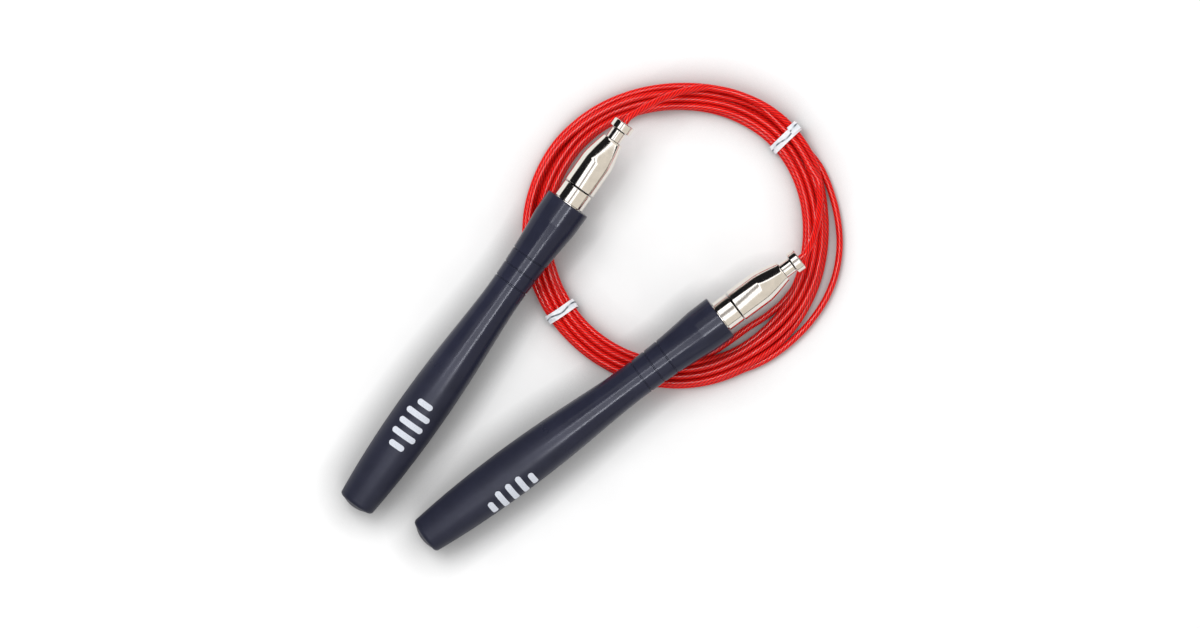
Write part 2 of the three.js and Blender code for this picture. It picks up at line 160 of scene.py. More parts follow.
def turned(name, outline, matrix, segments=128):
    """A closed outline of (radius, y) turned round the Y axis. Its ends may lie on the axis."""
    points = []
    rings = []
    for r, y in outline:
        if r < 1e-6:
            rings.append([len(points)] * segments)
            points.append((0.0, y, 0.0))
            continue
        rings.append(list(range(len(points), len(points) + segments)))
        for k in range(segments):
            angle = 2 * math.pi * k / segments
            points.append((r * math.sin(angle), y, r * math.cos(angle)))
    faces = []
    on_axis = outline[0][0] < 1e-6 and outline[-1][0] < 1e-6
    pairs = list(zip(rings, rings[1:]))
    if not on_axis:
        pairs.append((rings[-1], rings[0]))
    for a, b in pairs:
        for k in range(segments):
            n = (k + 1) % segments
            corners = [a[k], a[n], b[n], b[k]]
            corners = [c for i, c in enumerate(corners) if c not in corners[:i]]
            if len(corners) > 2:
                faces.append(corners)
    return add_object(name, finish_mesh(name, points, faces), matrix)


def quadratic(a, b, c, steps):
    return [
        tuple((1 - t) ** 2 * a[i] + 2 * t * (1 - t) * b[i] + t * t * c[i] for i in range(2))
        for t in (k / steps for k in range(steps + 1))
    ]


def cubic(a, b, c, d, steps):
    out = []
    for k in range(steps + 1):
        t = k / steps
        u = 1 - t
        out.append(
            tuple(
                u**3 * a[i] + 3 * u * u * t * b[i] + 3 * u * t * t * c[i] + t**3 * d[i]
                for i in range(2)
            )
        )
    return out


# ---- The cable ----------------------------------------------------------------------------

CABLE = 2.5  # diameter
HALF = CABLE / 2
# The cable's way from each tip down to the coil, from the coil's middle, as in the CAD source.
LEFT_ROUTE = [
    (-0.0147, 0.0473, 0.0162),
    (-0.0096, 0.0501, 0.0142),
    (-0.0045, 0.0526, 0.0117),
    (0.0005, 0.0546, 0.0094),
    (0.0049, 0.0558, 0.0078),
    (0.0105, 0.0562, 0.0070),
    (0.0155, 0.0554, 0.0068),
]
RIGHT_ROUTE = [
    (0.0506, -0.0039, 0.0159),
    (0.0523, 0.0014, 0.0132),
    (0.0535, 0.0066, 0.0103),
    (0.0544, 0.0116, 0.0082),
    (0.0548, 0.0162, 0.0071),
    (0.0546, 0.0206, 0.0068),
]
TIP_LEAD = 2.5
# The band's mean radius and width every 45 degrees, from +X round to +Y.
BAND_RADIUS = [52.8, 55.4, 53.2, 54.0, 53.6, 52.5, 52.7, 52.6]
BAND_WIDTH = [9.6, 11.6, 10.2, 9.3, 10.4, 10.3, 11.0, 10.2]
# Where each turn lies in the band: its distance from the mean radius, and its height.
LANES = [
    (4.35, 3.42),
    (1.85, 3.42),
    (-0.65, 3.42),
    (-3.15, 3.42),
    (-4.4, 1.25),
    (-1.9, 1.25),
    (0.6, 1.25),
    (3.1, 1.25),
    (5.6, 1.25),
]
TURNS = 8
COIL_FROM = 115  # the bearing that the turns are counted from, clockwise, in degrees
OUTER_TURN = (7, -62, 32, 3.8)  # turn, from, to, and how far it bulges out
INNER_TURN = (4, -80, -28, -3.2)
TIE_BEARINGS = {"upper": 42.0, "lower": 213.0}
TIE_LIFT = 0.42  # the ties pass under the cable
UNDER_HANDLES = ((184.0, 17.0, 4.15), (257.0, 13.0, 4.15))  # bearing, half width, ceiling


def ring_value(values, angle):
    """A closed smooth curve through values spaced evenly round the circle."""
    count = len(values)
    x = (np.asarray(angle) / (2 * math.pi) * count) % count
    i = np.floor(x).astype(int)
    t = x - i
    v = np.asarray(values)
    p0, p1, p2, p3 = (v[(i + k) % count] for k in (-1, 0, 1, 2))
    return 0.5 * (
        2 * p1
        + (p2 - p0) * t
        + (2 * p0 - 5 * p1 + 4 * p2 - p3) * t * t
        + (3 * p1 - p0 - 3 * p2 + p3) * t**3
    )


def bump(x, low, high):
    if x <= low or x >= high:
        return 0.0
    return math.sin(math.pi * (x - low) / (high - low)) ** 2


def bearing_of(angle):
    return (math.degrees(angle) + 180) % 360 - 180


def coil_point(swept):
    """The designed centreline, swept degrees clockwise from COIL_FROM."""
    theta = math.radians(COIL_FROM - swept)
    turn = int(swept // 360)
    share = min(max(swept / 360, 0), len(LANES) - 1.001)
    low = int(share)
    blend = share - low
    offset, height = (
        LANES[low][k] + (LANES[low + 1][k] - LANES[low][k]) * blend for k in range(2)
    )
    radius = float(ring_value(BAND_RADIUS, theta)) + offset
    radius += 0.45 * math.sin(3 * theta + 2.1 * turn) + 0.3 * math.sin(5 * theta + 4.7 * turn)
    for stray, start, end, reach in (OUTER_TURN, INNER_TURN):
        if turn == stray:
            radius += reach * bump(bearing_of(theta), start, end)
    return np.array([radius * math.cos(theta), radius * math.sin(theta), height])


def through(points, step=0.5):
    """A smooth line through the points."""
    ends = [2 * points[0] - points[1], *points, 2 * points[-1] - points[-2]]
    out = []
    for i in range(1, len(ends) - 2):
        p0, p1, p2, p3 = ends[i - 1 : i + 3]
        count = max(2, int(np.linalg.norm(p2 - p1) / step))
        t = (np.arange(count) / count)[:, None]
        out.append(
            0.5
            * (
                2 * p1
                + (p2 - p0) * t
                + (2 * p0 - 5 * p1 + 4 * p2 - p3) * t * t
                + (3 * p1 - p0 - 3 * p2 + p3) * t**3
            )
        )
    out.append(ends[-2][None])
    return np.concatenate(out)


def even(path, step):
    length = np.concatenate([[0], np.cumsum(np.linalg.norm(np.diff(path, axis=0), axis=1))])
    count = int(round(length[-1] / step))
    at = np.linspace(0, length[-1], count + 1)
    return np.stack([np.interp(at, length, path[:, k]) for k in range(3)], 1)


def local(point):
    """A point of the row frame, from the coil's middle, in millimetres."""
    return np.array((Vector(point) - CENTRE) / MM)


def designed_path():
    ends = {}
    for side, route in (("left", LEFT_ROUTE), ("right", RIGHT_ROUTE)):
        tip, along = swivel(side)
        lead = [local(tip + along * gap * MM) for gap in (0.05, TIP_LEAD)]
        ends[side] = lead + [np.array(p) / MM for p in route]

    def polar(point):
        return math.degrees(math.atan2(point[1], point[0]))

    join = 6  # degrees between a tail's last point and the first of the coil
    start = COIL_FROM - polar(ends["left"][-1]) + join
    stop = 360 * TURNS + COIL_FROM - polar(ends["right"][-1]) - join
    count = int((stop - start) / 10)
    settle = 8
    on_top = 6.6
    points = list(ends["left"])
    for i in range(count + 1):
        p = coil_point(start + (stop - start) * i / count)
        near_start = max(0.0, 1 - i / settle)
        near_stop = max(0.0, 1 - (count - i) / settle)
        p[:2] *= 1 - 2.2 * near_stop / np.linalg.norm(p[:2])
        for share in (near_start, near_stop):
            ease = share * share * (3 - 2 * share)
            p[2] = p[2] * (1 - ease) + on_top * ease
        points.append(p)
    points += ends["right"][::-1]
    return through(points)


def settled(path, rounds=520, step=2.5, tail=9):
    """Lets the turns of the coil fall and push apart until they lie on each other."""
    rest = even(path, step)
    count = len(rest)
    at = rest.copy()
    index = np.arange(count)
    inside = np.minimum(index, count - 1 - index) - tail
    free = inside >= 0
    fall = np.clip(inside / 10, 0, 1)
    loose = (fall * fall * (3 - 2 * fall))[:, None]
    theta = np.unwrap(np.arctan2(rest[:, 1], rest[:, 0]))
    middle = ring_value(BAND_RADIUS, theta)
    half = ring_value(BAND_WIDTH, theta) / 2 - HALF
    bearing = (np.degrees(theta) + 180) % 360 - 180
    turn = np.floor((COIL_FROM - np.degrees(theta) + 360 * round(theta[0] / 2 / math.pi)) / 360)
    stray = np.zeros(count, bool)
    for which, start, end, _ in (OUTER_TURN, INNER_TURN):
        stray |= (turn == which) & (bearing > start) & (bearing < end)
    walled = ~stray & (inside >= 10)
    ceiling = np.full(count, np.inf)
    for where, wide, top in UNDER_HANDLES:
        away = np.abs((bearing - where + 180) % 360 - 180)
        ceiling[away < wide] = top
    floor = np.full(count, HALF)
    for where in TIE_BEARINGS.values():
        away = np.abs((bearing - where + 180) % 360 - 180)
        floor += TIE_LIFT * np.clip((9 - away) / 5, 0, 1)
    low, high = None, None
    for pass_ in range(rounds):
        closing = pass_ > rounds * 0.6
        if pass_ % 10 == 0:
            square = (at**2).sum(1)
            apart = square[:, None] + square[None] - 2 * at @ at.T
            near = (apart < 5.5**2) & (np.abs(index[:, None] - index[None]) > 8)
            near[:, -1] = False
            low, high = np.nonzero(near)
        a = at[high]
        along = at[high + 1] - a
        t = ((at[low] - a) * along).sum(1) / np.maximum((along**2).sum(1), 1e-9)
        t = np.clip(t, 0, 1)
        away = at[low] - (a + along * t[:, None])
        distance = np.linalg.norm(away, axis=1)
        gap = CABLE + 0.03 - distance
        hit = gap > 0
        i, j, t = low[hit], high[hit], t[hit]
        push = away[hit] / np.maximum(distance[hit], 1e-6)[:, None] * (gap[hit] * 0.5)[:, None]
        move = np.zeros_like(at)
        weight = np.zeros(count)
        np.add.at(move, i, push)
        np.add.at(weight, i, 1)
        for part, share in ((j, 1 - t), (j + 1, t)):
            np.add.at(move, part, -push * share[:, None])
            np.add.at(weight, part, share)
        at += 0.9 * move / np.maximum(weight, 1)[:, None] * loose
        if not closing:
            at[:, 2] -= 0.03 * fall
        radius = np.hypot(at[:, 0], at[:, 1])
        over = np.clip(radius - (middle + half), 0, None) - np.clip(middle - half - radius, 0, None)
        pull = np.where(walled, 0.12 if closing else 0.4, 0.0) * over / radius
        at[:, :2] -= pull[:, None] * at[:, :2]
        low_enough = np.where(at[:, 2] > ceiling, (at[:, 2] + ceiling) / 2, at[:, 2])
        at[:, 2] = np.where(free, low_enough, at[:, 2])
        moved = at - rest
        for _ in range(1 if closing else 3):
            smooth = moved.copy()
            smooth[1:-1] = 0.5 * moved[1:-1] + 0.25 * (moved[:-2] + moved[2:])
            if closing:
                smooth = 0.8 * moved + 0.2 * smooth
            moved = np.where(free[:, None], smooth, moved)
        at = rest + moved
        at[:, 2] = np.where(free, np.maximum(at[:, 2], floor), at[:, 2])
    # The stiff cable takes the tails' bends gently. The first points keep the way out of the tips.
    ends = (inside < 5)[2:-2, None]
    for _ in range(5):
        smooth = 0.5 * at[2:-2] + 0.25 * (at[1:-3] + at[3:-1])
        at[2:-2] = np.where(ends, smooth, at[2:-2])
    return at


cable_line = even(through(list(settled(designed_path())), 0.6), 0.9)
cable_length = float(np.linalg.norm(np.diff(cable_line, axis=0), axis=1).sum())

STRANDS = 7  # the wire rope's outer strands, which show through the coat
STRAND_DEPTH = 0.045
LAY = 13.0  # the length in which a strand goes once round
SIDES = 4 * STRANDS


def tube_rings(line):
    """Rings round the line whose points follow the strands, so that the strands are real shape."""
    tangent = np.gradient(line, axis=0)
    tangent /= np.linalg.norm(tangent, axis=1)[:, None]
    side = np.cross(tangent[0], (0, 0, 1))
    sides = []
    for t in tangent:
        side = side - t * side.dot(t)
        side /= np.linalg.norm(side)
        sides.append(side)
    sides = np.array(sides)
    up = np.cross(sides, tangent)
    step = np.linalg.norm(np.diff(line, axis=0), axis=1).mean()
    twist = 2 * math.pi * step / LAY * np.arange(len(line))
    round_ = 2 * math.pi * np.arange(SIDES) / SIDES
    lobe = np.abs(np.cos(STRANDS * round_ / 2))
    radius = HALF + STRAND_DEPTH * (lobe - 0.55)
    angle = round_[None] + twist[:, None]
    x = (radius * np.cos(angle))[..., None] * sides[:, None]
    y = (radius * np.sin(angle))[..., None] * up[:, None]
    return line[:, None] + x + y


def tube_mesh(name, rings):
    """A closed tube, with a map of strand and length, and an unrolled map for its textures."""
    count, sides = rings.shape[:2]
    points = rings.reshape(-1, 3) * MM
    ring, k = np.meshgrid(np.arange(count - 1), np.arange(sides), indexing="ij")
    n = (k + 1) % sides
    quads = np.stack(
        [ring * sides + k, ring * sides + n, (ring + 1) * sides + n, (ring + 1) * sides + k], -1
    ).reshape(-1, 4)
    caps = [list(range(sides))[::-1], list(range((count - 1) * sides, count * sides))]
    mesh = bpy.data.meshes.new(name)
    mesh.from_pydata(points.tolist(), [], quads.tolist() + caps)
    corners = len(mesh.loops)
    across = np.zeros((corners, 2), np.float32)
    flat = np.zeros((corners, 2), np.float32)
    u = np.stack([k, k + 1, k + 1, k], -1).reshape(-1) / sides
    v = np.stack([ring, ring, ring + 1, ring + 1], -1).reshape(-1)
    step = cable_length / (count - 1)
    across[: len(u), 0] = u
    across[: len(u), 1] = v * step * MM
    rows = 19
    per_row = (count - 1) / rows
    row = np.minimum(np.repeat(np.floor(ring.reshape(-1) / per_row), 4), rows - 1)
    flat[: len(u), 0] = 0.004 + 0.99 * (v - row * per_row) / (per_row + 1)
    flat[: len(u), 1] = (row + 0.04 + 0.92 * u) / rows
    mesh.uv_layers.new(name="strand").uv.foreach_set("vector", across.ravel())
    mesh.uv_layers.new(name="OFBake").uv.foreach_set("vector", flat.ravel())
    mesh.uv_layers.active = mesh.uv_layers["strand"]
    mesh.shade_smooth()
    mesh.set_sharp_from_angle(angle=math.radians(60))
    return mesh


def add_cable():
    rings = tube_rings(cable_line)
    rings = rings + np.array(CENTRE) / MM
    piece = add_object("jump_cable", tube_mesh("jump_cable", rings))
    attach(piece, "root")
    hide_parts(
        "cable_coil",
        "cable_left_tail",
        "cable_right_tail",
        "cable_outer_turn",
        "cable_inner_turn",
    )
    return piece


cable = add_cable()

# ---- The two ties round the coil ----------------------------------------------------------

TIE_WIDTH = 3.5
TIE_SHEET = 0.24  # thickness of the plastic beside the wire
TIE_WIRE = 0.3  # how far the wire inside lifts it
TIE_SLACK = 0.55  # how far the loop stands off the band's edges


def hull(points):
    """The convex outline of points in a plane, anticlockwise."""
    points = sorted(map(tuple, points))

    def chain(run):
        out = []
        for p in run:
            while len(out) > 1:
                (ax, ay), (bx, by) = out[-2], out[-1]
                if (bx - ax) * (p[1] - ay) - (by - ay) * (p[0] - ax) > 0:
                    break
                out.pop()
            out.append(p)
        return out[:-1]

    return np.array(chain(points) + chain(points[::-1]))


def loop_line(bearing):
    """The tie's way round the band, as (radius, height), closed and evenly spaced."""
    angle = math.radians(bearing)
    outward = np.array((math.cos(angle), math.sin(angle)))
    tangent = np.array((-outward[1], outward[0]))
    flat = cable_line[:, :2]
    along = flat @ tangent
    near = (np.abs(along) < TIE_WIDTH / 2 + 0.3) & (flat @ outward > 20)
    centres = np.stack([flat[near] @ outward, cable_line[near, 2]], 1)
    round_ = np.linspace(0, 2 * math.pi, 24, endpoint=False)
    circle = np.stack([np.cos(round_), np.sin(round_)], 1) * (HALF + 0.1)
    outline = hull((centres[:, None] + circle[None]).reshape(-1, 2))
    closed = np.concatenate([outline, outline[:1]])
    line = even(np.column_stack([closed, np.zeros(len(closed))]), 0.25)[:-1, :2]
    middle = (line.max(0) + line.min(0)) / 2
    half = (line.max(0) - line.min(0)) / 2
    share = (line - middle) / half
    line[:, 0] += TIE_SLACK * np.sign(share[:, 0]) * np.abs(share[:, 0]) ** 6
    for _ in range(10):
        line = 0.5 * line + 0.25 * (np.roll(line, 1, 0) + np.roll(line, -1, 0))
    return line, outward, tangent


def tie_section(wander):
    """The strip's closed outline, as (across, outward): flat plastic with the wire's ridge."""
    half = TIE_WIDTH / 2
    across = np.linspace(-half, half, 23)
    ridge = TIE_WIRE * np.exp(-(((across - wander) / 0.42) ** 2))
    edge = 0.06 * np.clip((np.abs(across) - half + 0.3) / 0.3, 0, 1)
    top = np.stack([across, TIE_SHEET + ridge + edge], 1)
    under = np.stack([across[::-1], np.zeros(len(across))], 1)
    return np.concatenate([top, under])


def add_tie(name, node, bearing, from_share, turns, drift):
    line, outward, tangent = loop_line(bearing)
    count = len(line)
    normal = np.roll(line, -1, 0) - np.roll(line, 1, 0)
    normal = np.stack([normal[:, 1], -normal[:, 0]], 1)
    normal /= np.linalg.norm(normal, axis=1)[:, None]
    total = int(count * turns)
    first = int(count * from_share)
    sections = []
    for i in range(total):
        k = (first + i) % count
        lap = np.clip((i - count + 6) / 10, 0, 1)
        lap = lap * lap * (3 - 2 * lap)
        phase = 2 * math.pi * i / count
        wander = 0.3 * math.sin(2 * phase + drift) + 0.12 * math.sin(5 * phase + 1)
        lift = lap * (TIE_SHEET + TIE_WIRE * 0.8) + 0.05 * math.sin(7 * phase)
        lift += 0.06
        shift = drift * 0.25 * math.sin(phase + 0.6) + lap * 0.7
        rows = []
        for across, out in tie_section(wander):
            r, z = line[k] + normal[k] * (lift + out)
            xy = outward * r + tangent * (across + shift)
            rows.append((xy[0], xy[1], max(z, 0.03)))
        sections.append(rows)
    sections = np.array(sections)
    sides = sections.shape[1]
    points = sections.reshape(-1, 3) + np.array(CENTRE) / MM
    faces = []
    for i in range(total - 1):
        for k in range(sides):
            n = (k + 1) % sides
            faces.append((i * sides + k, i * sides + n, (i + 1) * sides + n, (i + 1) * sides + k))
    faces.append(tuple(range(sides)))
    faces.append(tuple(range((total - 1) * sides, total * sides)))
    mesh = finish_mesh(name, points, faces, sharp=50)
    # A map of how far across the strip a point is, and how far along it.
    strip = mesh.uv_layers.new(name="strip")
    uv = np.zeros((len(mesh.loops), 2), np.float32)
    vertex = np.zeros(len(mesh.loops), np.int32)
    mesh.loops.foreach_get("vertex_index", vertex)
    k = vertex % sides
    half = sides // 2
    share = np.where(k < half, k, sides - 1 - k) / (half - 1)
    uv[:, 0] = share
    uv[:, 1] = vertex // sides / count
    strip.uv.foreach_set("vector", uv.ravel())
    piece = add_object(name, mesh)
    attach(piece, "root")
    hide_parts(node)
    return piece


ties = [
    add_tie("upper_tie_strip", "upper_tie", TIE_BEARINGS["upper"], 0.47, 1.2, 0.9),
    add_tie("lower_tie_strip", "lower_tie", TIE_BEARINGS["lower"], 0.02, 1.2, -0.8),
]

# ---- The handles --------------------------------------------------------------------------

GRIP_LENGTH = 141.4
GRIP_FRONT = 8.95
BAND_AT, BAND_R = 9.1, 8.85
WAIST_AT, WAIST_R = 40.7, 6.95
BELLY_AT, BELLY_R = 99.0, 9.22
BUTT_R, BUTT_ROUND, BUTT_DOME = 7.3, 1.9, 1.3
GROOVES = (25.2, 31.3, 37.4)
GROOVE_DEPTH = 0.35
GROOVE_REACH = 0.36  # from a groove's middle to where the grip is whole again
SOCKET_R, SOCKET_DEPTH, HOLLOW_R, HOLLOW_END = 5.7, 15.0, 5.05, 136.5
GRIP_SEGMENTS = 144


def flare(behind):
    share = (WAIST_AT - behind) / (WAIST_AT - BAND_AT)
    return WAIST_R + (BAND_R - WAIST_R) * share**2


def grip_profile():
    """The outside of the grip as (radius, distance behind the front), from the butt forwards."""
    corner = GRIP_LENGTH - BUTT_DOME - BUTT_ROUND
    dome_edge = GRIP_LENGTH - BUTT_DOME
    out = [(0.0, GRIP_LENGTH)]
    for k in range(1, 9):
        r = (BUTT_R - BUTT_ROUND) * k / 8
        out.append((r, GRIP_LENGTH - BUTT_DOME * (r / (BUTT_R - BUTT_ROUND)) ** 2))
    out += quadratic((BUTT_R - BUTT_ROUND, dome_edge), (BUTT_R, dome_edge), (BUTT_R, corner), 8)[1:]
    bend = BELLY_AT + (corner - BELLY_AT) * 0.52
    out += quadratic((BUTT_R, corner), (BELLY_R, bend), (BELLY_R, BELLY_AT), 36)[1:]
    span = BELLY_AT - WAIST_AT
    out += cubic(
        (BELLY_R, BELLY_AT),
        (BELLY_R, WAIST_AT + span * 0.5),
        (WAIST_R, WAIST_AT + span * 0.26),
        (WAIST_R, WAIST_AT),
        48,
    )[1:]
    behind = WAIST_AT
    stations = set(np.round(np.arange(BAND_AT, WAIST_AT, 0.6), 3))
    for groove in GROOVES:
        stations = {s for s in stations if abs(s - groove) > 0.75}
        stations |= {groove + d for d in (-0.65, -0.45, -0.36, -0.3, -0.24, -0.16, -0.08, 0)}
        stations |= {groove + d for d in (0.65, 0.45, 0.36, 0.3, 0.24, 0.16, 0.08)}
    for behind in sorted(stations, reverse=True):
        r = flare(behind)
        for groove in GROOVES:
            away = abs(behind - groove)
            if away <= GROOVE_REACH:
                r -= GROOVE_DEPTH * min(1.0, (GROOVE_REACH - away) / 0.2) ** 0.7
        out.append((r, behind))
    front = GRIP_FRONT
    out += [(BAND_R, BAND_AT - 0.12), (BAND_R + 0.01, BAND_AT - 0.5), (front, 0.9), (front, 0.5)]
    out += quadratic((front, 0.4), (front, 0.0), (front - 0.4, 0.0), 6)
    return out


def add_grip(side, matrix):
    outline = [(r, -behind) for r, behind in grip_profile()]
    outline += [
        (SOCKET_R + 0.15, 0.0),
        (SOCKET_R, -0.15),
        (SOCKET_R, -SOCKET_DEPTH),
        (HOLLOW_R, -SOCKET_DEPTH),
        (HOLLOW_R, -HOLLOW_END),
        (0.0, -HOLLOW_END),
    ]
    piece = turned(side + "_grip_body", outline, matrix, GRIP_SEGMENTS)
    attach(piece, "root")
    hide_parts(side + "_grip")
    return piece


FERRULE_R, FERRULE_END = 6.2, 6.9
HOUSING_FROM, HOUSING_R, HOUSING_STRAIGHT = 7.3, 6.45, 11.5
HOUSING_END, HOUSING_NOSE_R, HOUSING_LIP = 29.3, 4.25, 0.5
NECK_R, NECK_END = 3.05, 33.6
CAP_R, CAP_FROM, TIP = 4.4, 33.9, 37.2
BORE = 1.5


def add_ferrule(side, matrix):
    outline = softened(
        [
            (3.9, -14.0, 0.2),
            (5.5, -14.0, 0.4),
            (5.5, 0.3, 0.0),
            (FERRULE_R, 0.3, 0.18),
            (FERRULE_R, FERRULE_END, 0.28),
            (4.95, FERRULE_END, 0.0),
            (4.95, 10.1, 0.25),
            (3.9, 10.1, 0.15),
        ]
    )
    piece = turned(side + "_ferrule_body", outline, matrix)
    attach(piece, "root")
    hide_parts(side + "_ferrule")
    return piece


def add_housing(side, matrix):
    nose = HOUSING_END - HOUSING_FROM - HOUSING_STRAIGHT - HOUSING_LIP
    ogive = []
    for k in range(33):
        share = k / 32
        r = HOUSING_R - (HOUSING_R - HOUSING_NOSE_R) * share**1.3
        ogive.append((r, HOUSING_FROM + HOUSING_STRAIGHT + nose * share, 0.0))
    outline = softened(
        [
            (5.15, HOUSING_FROM, 0.1),
            (HOUSING_R, HOUSING_FROM, 0.25),
            *ogive,
            (HOUSING_NOSE_R, HOUSING_END, 0.18),
            (3.4, HOUSING_END, 0.12),
            (3.4, 24.7, 0.0),
            (5.15, 24.7, 0.0),
        ]
    )
    piece = turned(side + "_housing_body", outline, matrix)
    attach(piece, "root")
    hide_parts(side + "_bearing_housing")
    return piece


def add_spindle(side, matrix):
    outline = softened(
        [
            (BORE, 8.7, 0.1),
            (2.35, 8.7, 0.15),
            (2.35, 9.7, 0.0),
            (2.0, 9.7, 0.0),
            (2.0, 10.2, 0.0),
            (2.35, 10.2, 0.0),
            (2.35, 24.7, 0.0),
            (NECK_R, 24.7, 0.1),
            (NECK_R, NECK_END, 0.1),
            (2.35, NECK_END, 0.0),
            (2.35, 35.8, 0.1),
            (BORE, 35.8, 0.1),
        ]
    )
    piece = turned(side + "_spindle_body", outline, matrix)
    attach(piece, side + "_swivel")
    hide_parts(side + "_spindle")
    return piece


def add_cap(side, matrix):
    outline = softened(
        [
            (2.55, CAP_FROM, 0.1),
            (CAP_R, CAP_FROM, 0.3),
            (CAP_R, TIP, 0.4),
            (BORE, TIP, 0.3),
            (BORE, 36.1, 0.0),
            (2.55, 36.1, 0.0),
        ]
    )
    piece = turned(side + "_cap_body", outline, matrix)
    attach(piece, side + "_swivel")
    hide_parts(side + "_tip_cap")
    return piece


# Plain pale bars stand in for what is printed on the grips.
PRINT_AT = 102.5
PRINT_LENGTH, PRINT_WIDTH = 23.5, 10.6
PRINT_THICK = 0.05
PRINT_TURN = {"left": 0.0, "right": 48.0}
PRINT_BARS = (0.62, 1.0, 1.0, 1.0, 0.62)  # each bar's share of the width


def add_print(side, matrix):
    radii = sorted((behind, r) for r, behind in grip_profile())
    behinds, rs = zip(*radii)
    pitch = PRINT_LENGTH / len(PRINT_BARS)
    thick = pitch * 0.5
    points, faces = [], []
    for index, share in enumerate(PRINT_BARS):
        centre = PRINT_AT + (index - (len(PRINT_BARS) - 1) / 2) * pitch
        half = PRINT_WIDTH / 2 * share
        columns, rows = 33, 9
        base = len(points)
        for layer in (PRINT_THICK, -0.1):
            for i in range(columns):
                s = -1 + 2 * i / (columns - 1)
                # The bar's ends are round.
                round_end = max(0.0, (abs(s) * half - half + thick / 2) / (thick / 2))
                span = thick / 2 * math.sqrt(max(0.02, 1 - round_end**2))
                for j in range(rows):
                    behind = centre + (-1 + 2 * j / (rows - 1)) * span
                    r = float(np.interp(behind, behinds, rs))
                    angle = s * half / r + math.radians(PRINT_TURN[side])
                    r += layer
                    points.append((r * math.sin(angle), -behind, r * math.cos(angle)))
        size = columns * rows

        def at(layer, i, j):
            return base + layer * size + i * rows + j

        for i in range(columns - 1):
            for j in range(rows - 1):
                for layer in (0, 1):
                    faces.append(
                        (
                            at(layer, i, j),
                            at(layer, i + 1, j),
                            at(layer, i + 1, j + 1),
                            at(layer, i, j + 1),
                        )
                    )
        rim = [(i, 0) for i in range(columns)] + [(columns - 1, j) for j in range(1, rows)]
        rim += [(i, rows - 1) for i in range(columns - 2, -1, -1)]
        rim += [(0, j) for j in range(rows - 2, 0, -1)]
        for a, b in zip(rim, rim[1:] + rim[:1]):
            faces.append((at(0, *a), at(0, *b), at(1, *b), at(1, *a)))
    piece = add_object(side + "_grip_bars", finish_mesh(side + "_grip_bars", points, faces), matrix)
    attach(piece, "root")
    return piece


handles = {}
for side in ("left", "right"):
    matrix = handle_matrix(side)
    handles[side] = {
        "grip": add_grip(side, matrix),
        "ferrule": add_ferrule(side, matrix),
        "housing": add_housing(side, matrix),
        "spindle": add_spindle(side, matrix),
        "cap": add_cap(side, matrix),
        "print": add_print(side, matrix),
    }

# ---- Materials ----------------------------------------------------------------------------


class Look:
    """A material's node tree, with short ways to add to it."""

    def __init__(self, name, roughness, metallic=0.0):
        self.material = bpy.data.materials.new(name)
        self.material.use_nodes = True
        self.tree = self.material.node_tree
        self.shader = self.tree.nodes["Principled BSDF"]
        self.shader.inputs["Metallic"].default_value = metallic
        self.shader.inputs["Roughness"].default_value = roughness
        self.place = None

    def add(self, kind, inputs=None, **settings):
        node = self.tree.nodes.new(kind)
        for key, value in settings.items():
            setattr(node, key, value)
        for key, value in (inputs or {}).items():
            self.put(node.inputs[key], value)
        return node

    def put(self, socket, value):
        if isinstance(value, bpy.types.NodeSocket):
            self.tree.links.new(value, socket)
        else:
            socket.default_value = value

    def millimetres(self):
        """The piece's own coordinates, in millimetres."""
        if self.place is None:
            place = self.add("ShaderNodeTexCoord")
            scaled = self.add("ShaderNodeVectorMath", operation="SCALE")
            self.put(scaled.inputs[0], place.outputs["Object"])
            scaled.inputs["Scale"].default_value = 1 / MM
            self.place = scaled.outputs[0]
        return self.place

    def noise(self, scale, detail=3.0, roughness=0.5, stretch=None):
        vector = self.millimetres()
        if stretch:
            mapped = self.add("ShaderNodeVectorMath", operation="MULTIPLY")
            self.put(mapped.inputs[0], vector)
            mapped.inputs[1].default_value = stretch
            vector = mapped.outputs[0]
        inputs = {"Vector": vector, "Scale": scale, "Detail": detail, "Roughness": roughness}
        return self.add("ShaderNodeTexNoise", inputs).outputs["Fac"]

    def ranged(self, value, low, high, to_low, to_high, smooth=False):
        kind = "SMOOTHSTEP" if smooth else "LINEAR"
        node = self.add("ShaderNodeMapRange", interpolation_type=kind)
        for key, val in zip(
            ("Value", "From Min", "From Max", "To Min", "To Max"),
            (value, low, high, to_low, to_high),
        ):
            self.put(node.inputs[key], val)
        return node.outputs[0]

    def maths(self, operation, a, b=0.0):
        node = self.add("ShaderNodeMath", operation=operation)
        self.put(node.inputs[0], a)
        self.put(node.inputs[1], b)
        return node.outputs[0]

    def blend(self, share, a, b, kind="MIX"):
        node = self.add("ShaderNodeMix", data_type="RGBA", blend_type=kind)
        self.put(node.inputs[0], share)
        for socket, value in ((node.inputs[6], a), (node.inputs[7], b)):
            if isinstance(value, tuple):
                value = (*value, 1.0)
            self.put(socket, value)
        return node.outputs[2]

    def gray(self, value):
        node = self.add("ShaderNodeCombineColor")
        for socket in node.inputs:
            self.put(socket, value)
        return node.outputs[0]

    def color(self, value):
        if isinstance(value, tuple):
            value = (*value, 1.0)
        self.put(self.shader.inputs["Base Color"], value)

    def rough(self, value):
        self.put(self.shader.inputs["Roughness"], value)

    def height(self, value, distance, strength=1.0, normal=None):
        """A bump of the given height in millimetres."""
        inputs = {"Height": value, "Distance": distance * MM, "Strength": strength}
        if normal is not None:
            inputs["Normal"] = normal
        out = self.add("ShaderNodeBump", inputs).outputs[0]
        self.put(self.shader.inputs["Normal"], out)
        return out


